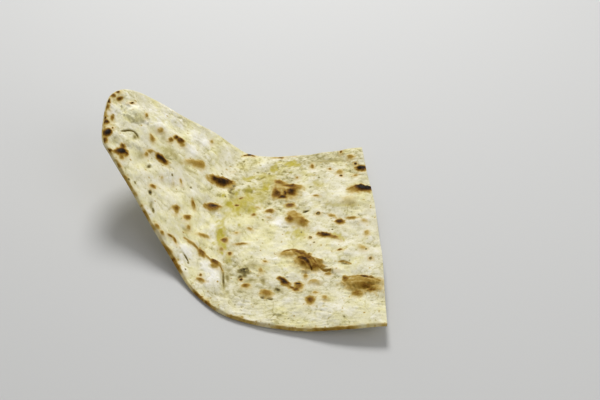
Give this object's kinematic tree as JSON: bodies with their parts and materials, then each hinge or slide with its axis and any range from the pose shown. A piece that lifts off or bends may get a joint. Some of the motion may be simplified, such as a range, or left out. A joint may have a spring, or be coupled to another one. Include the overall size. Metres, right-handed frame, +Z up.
{
  "type": "naan bread",
  "caption": "Half of a long naan flatbread with a straight knife cut, bent along a valley into a rising wing, with a blistered and toasted upper face.",
  "frame": {"origin": "on the table, under the middle of the bread's footprint", "axes": "+Z up, +X across the valley towards the knife cut, +Y along the valley towards the back"},
  "size_m": [0.178, 0.1616, 0.0611],
  "materials": {
    "baked_naan": "matte"
  },
  "bodies": {
    "root": {"naan": "baked_naan"}
  },
  "joints": []
}
